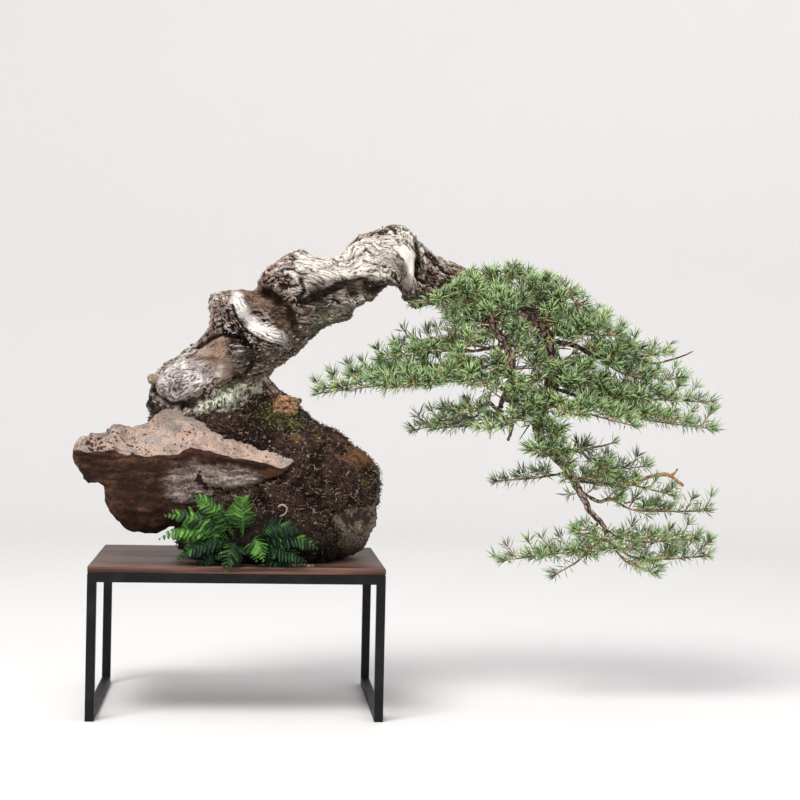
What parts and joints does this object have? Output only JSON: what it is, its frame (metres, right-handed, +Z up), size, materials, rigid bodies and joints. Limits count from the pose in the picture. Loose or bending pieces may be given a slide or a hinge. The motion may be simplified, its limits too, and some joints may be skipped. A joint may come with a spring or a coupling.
{
  "type": "douglas fir bonsai",
  "caption": "Semi-cascade bonsai: a gnarled trunk arches up from a slab stone and mossy soil mound with ferns, then hangs down in needle sprays, on a low steel stand with a walnut top.",
  "frame": {"origin": "middle of the whole object's footprint box, on the surface that the stand's feet rest on", "axes": "+X to the right along the arching tree, +Y to the back, +Z up; the front is -Y"},
  "size_m": [0.9756, 0.3054, 0.7208],
  "materials": {
    "frame_steel": "satin",
    "walnut": "satin",
    "red_stone": "matte",
    "dark_stone": "matte",
    "soil_and_moss": "matte",
    "bark": "matte",
    "chip_bark": "matte",
    "needles": "satin",
    "fern_leaf": "satin"
  },
  "bodies": {
    "root": {"bark_chip": "chip_bark", "base_stone": "dark_stone", "fern_frond_01": "fern_leaf", "fern_frond_02": "fern_leaf", "fern_frond_03": "fern_leaf", "fern_frond_04": "fern_leaf", "fern_frond_05": "fern_leaf", "fern_frond_06": "fern_leaf", "fern_frond_07": "fern_leaf", "fern_frond_08": "fern_leaf", "fern_frond_09": "fern_leaf", "fern_frond_10": "fern_leaf", "slab_stone": "red_stone", "soil_mound": "soil_and_moss", "spray_bare_twig": "needles", "spray_bottom_back": "needles", "spray_bottom_left": "needles", "spray_bottom_left_low": "needles", "spray_bottom_right": "needles", "spray_bottom_right_front": "needles", "spray_bottom_right_high": "needles", "spray_bottom_star": "needles", "spray_crown_back": "needles", "spray_crown_back_left": "needles", "spray_crown_front": "needles", "spray_crown_front_left": "needles", "spray_crown_left_back": "needles", "spray_crown_left_front": "needles", "spray_crown_right_back": "needles", "spray_crown_right_front": "needles", "spray_crown_top": "needles", "spray_crown_top_back": "needles", "spray_crown_top_right": "needles", "spray_crown_west": "needles", "spray_front_right_star": "needles", "spray_front_star": "needles", "spray_hooked_right": "needles", "spray_long_left": "needles", "spray_long_left_front": "needles", "spray_lower_left": "needles", "spray_lower_left_back": "needles", "spray_lower_left_front": "needles", "spray_middle_back": "needles", "spray_middle_front": "needles", "spray_middle_left": "needles", "spray_middle_low": "needles", "spray_middle_right": "needles", "spray_right_back_lower": "needles", "spray_right_back_upper": "needles", "spray_right_long": "needles", "spray_right_low": "needles", "spray_right_top": "needles", "spray_right_upper": "needles", "spray_top_left": "needles", "spray_top_left_back": "needles", "spray_upper_left": "needles", "stand_frame": "frame_steel", "stand_top": "walnut", "trunk_and_branches": "bark"}
  },
  "joints": []
}
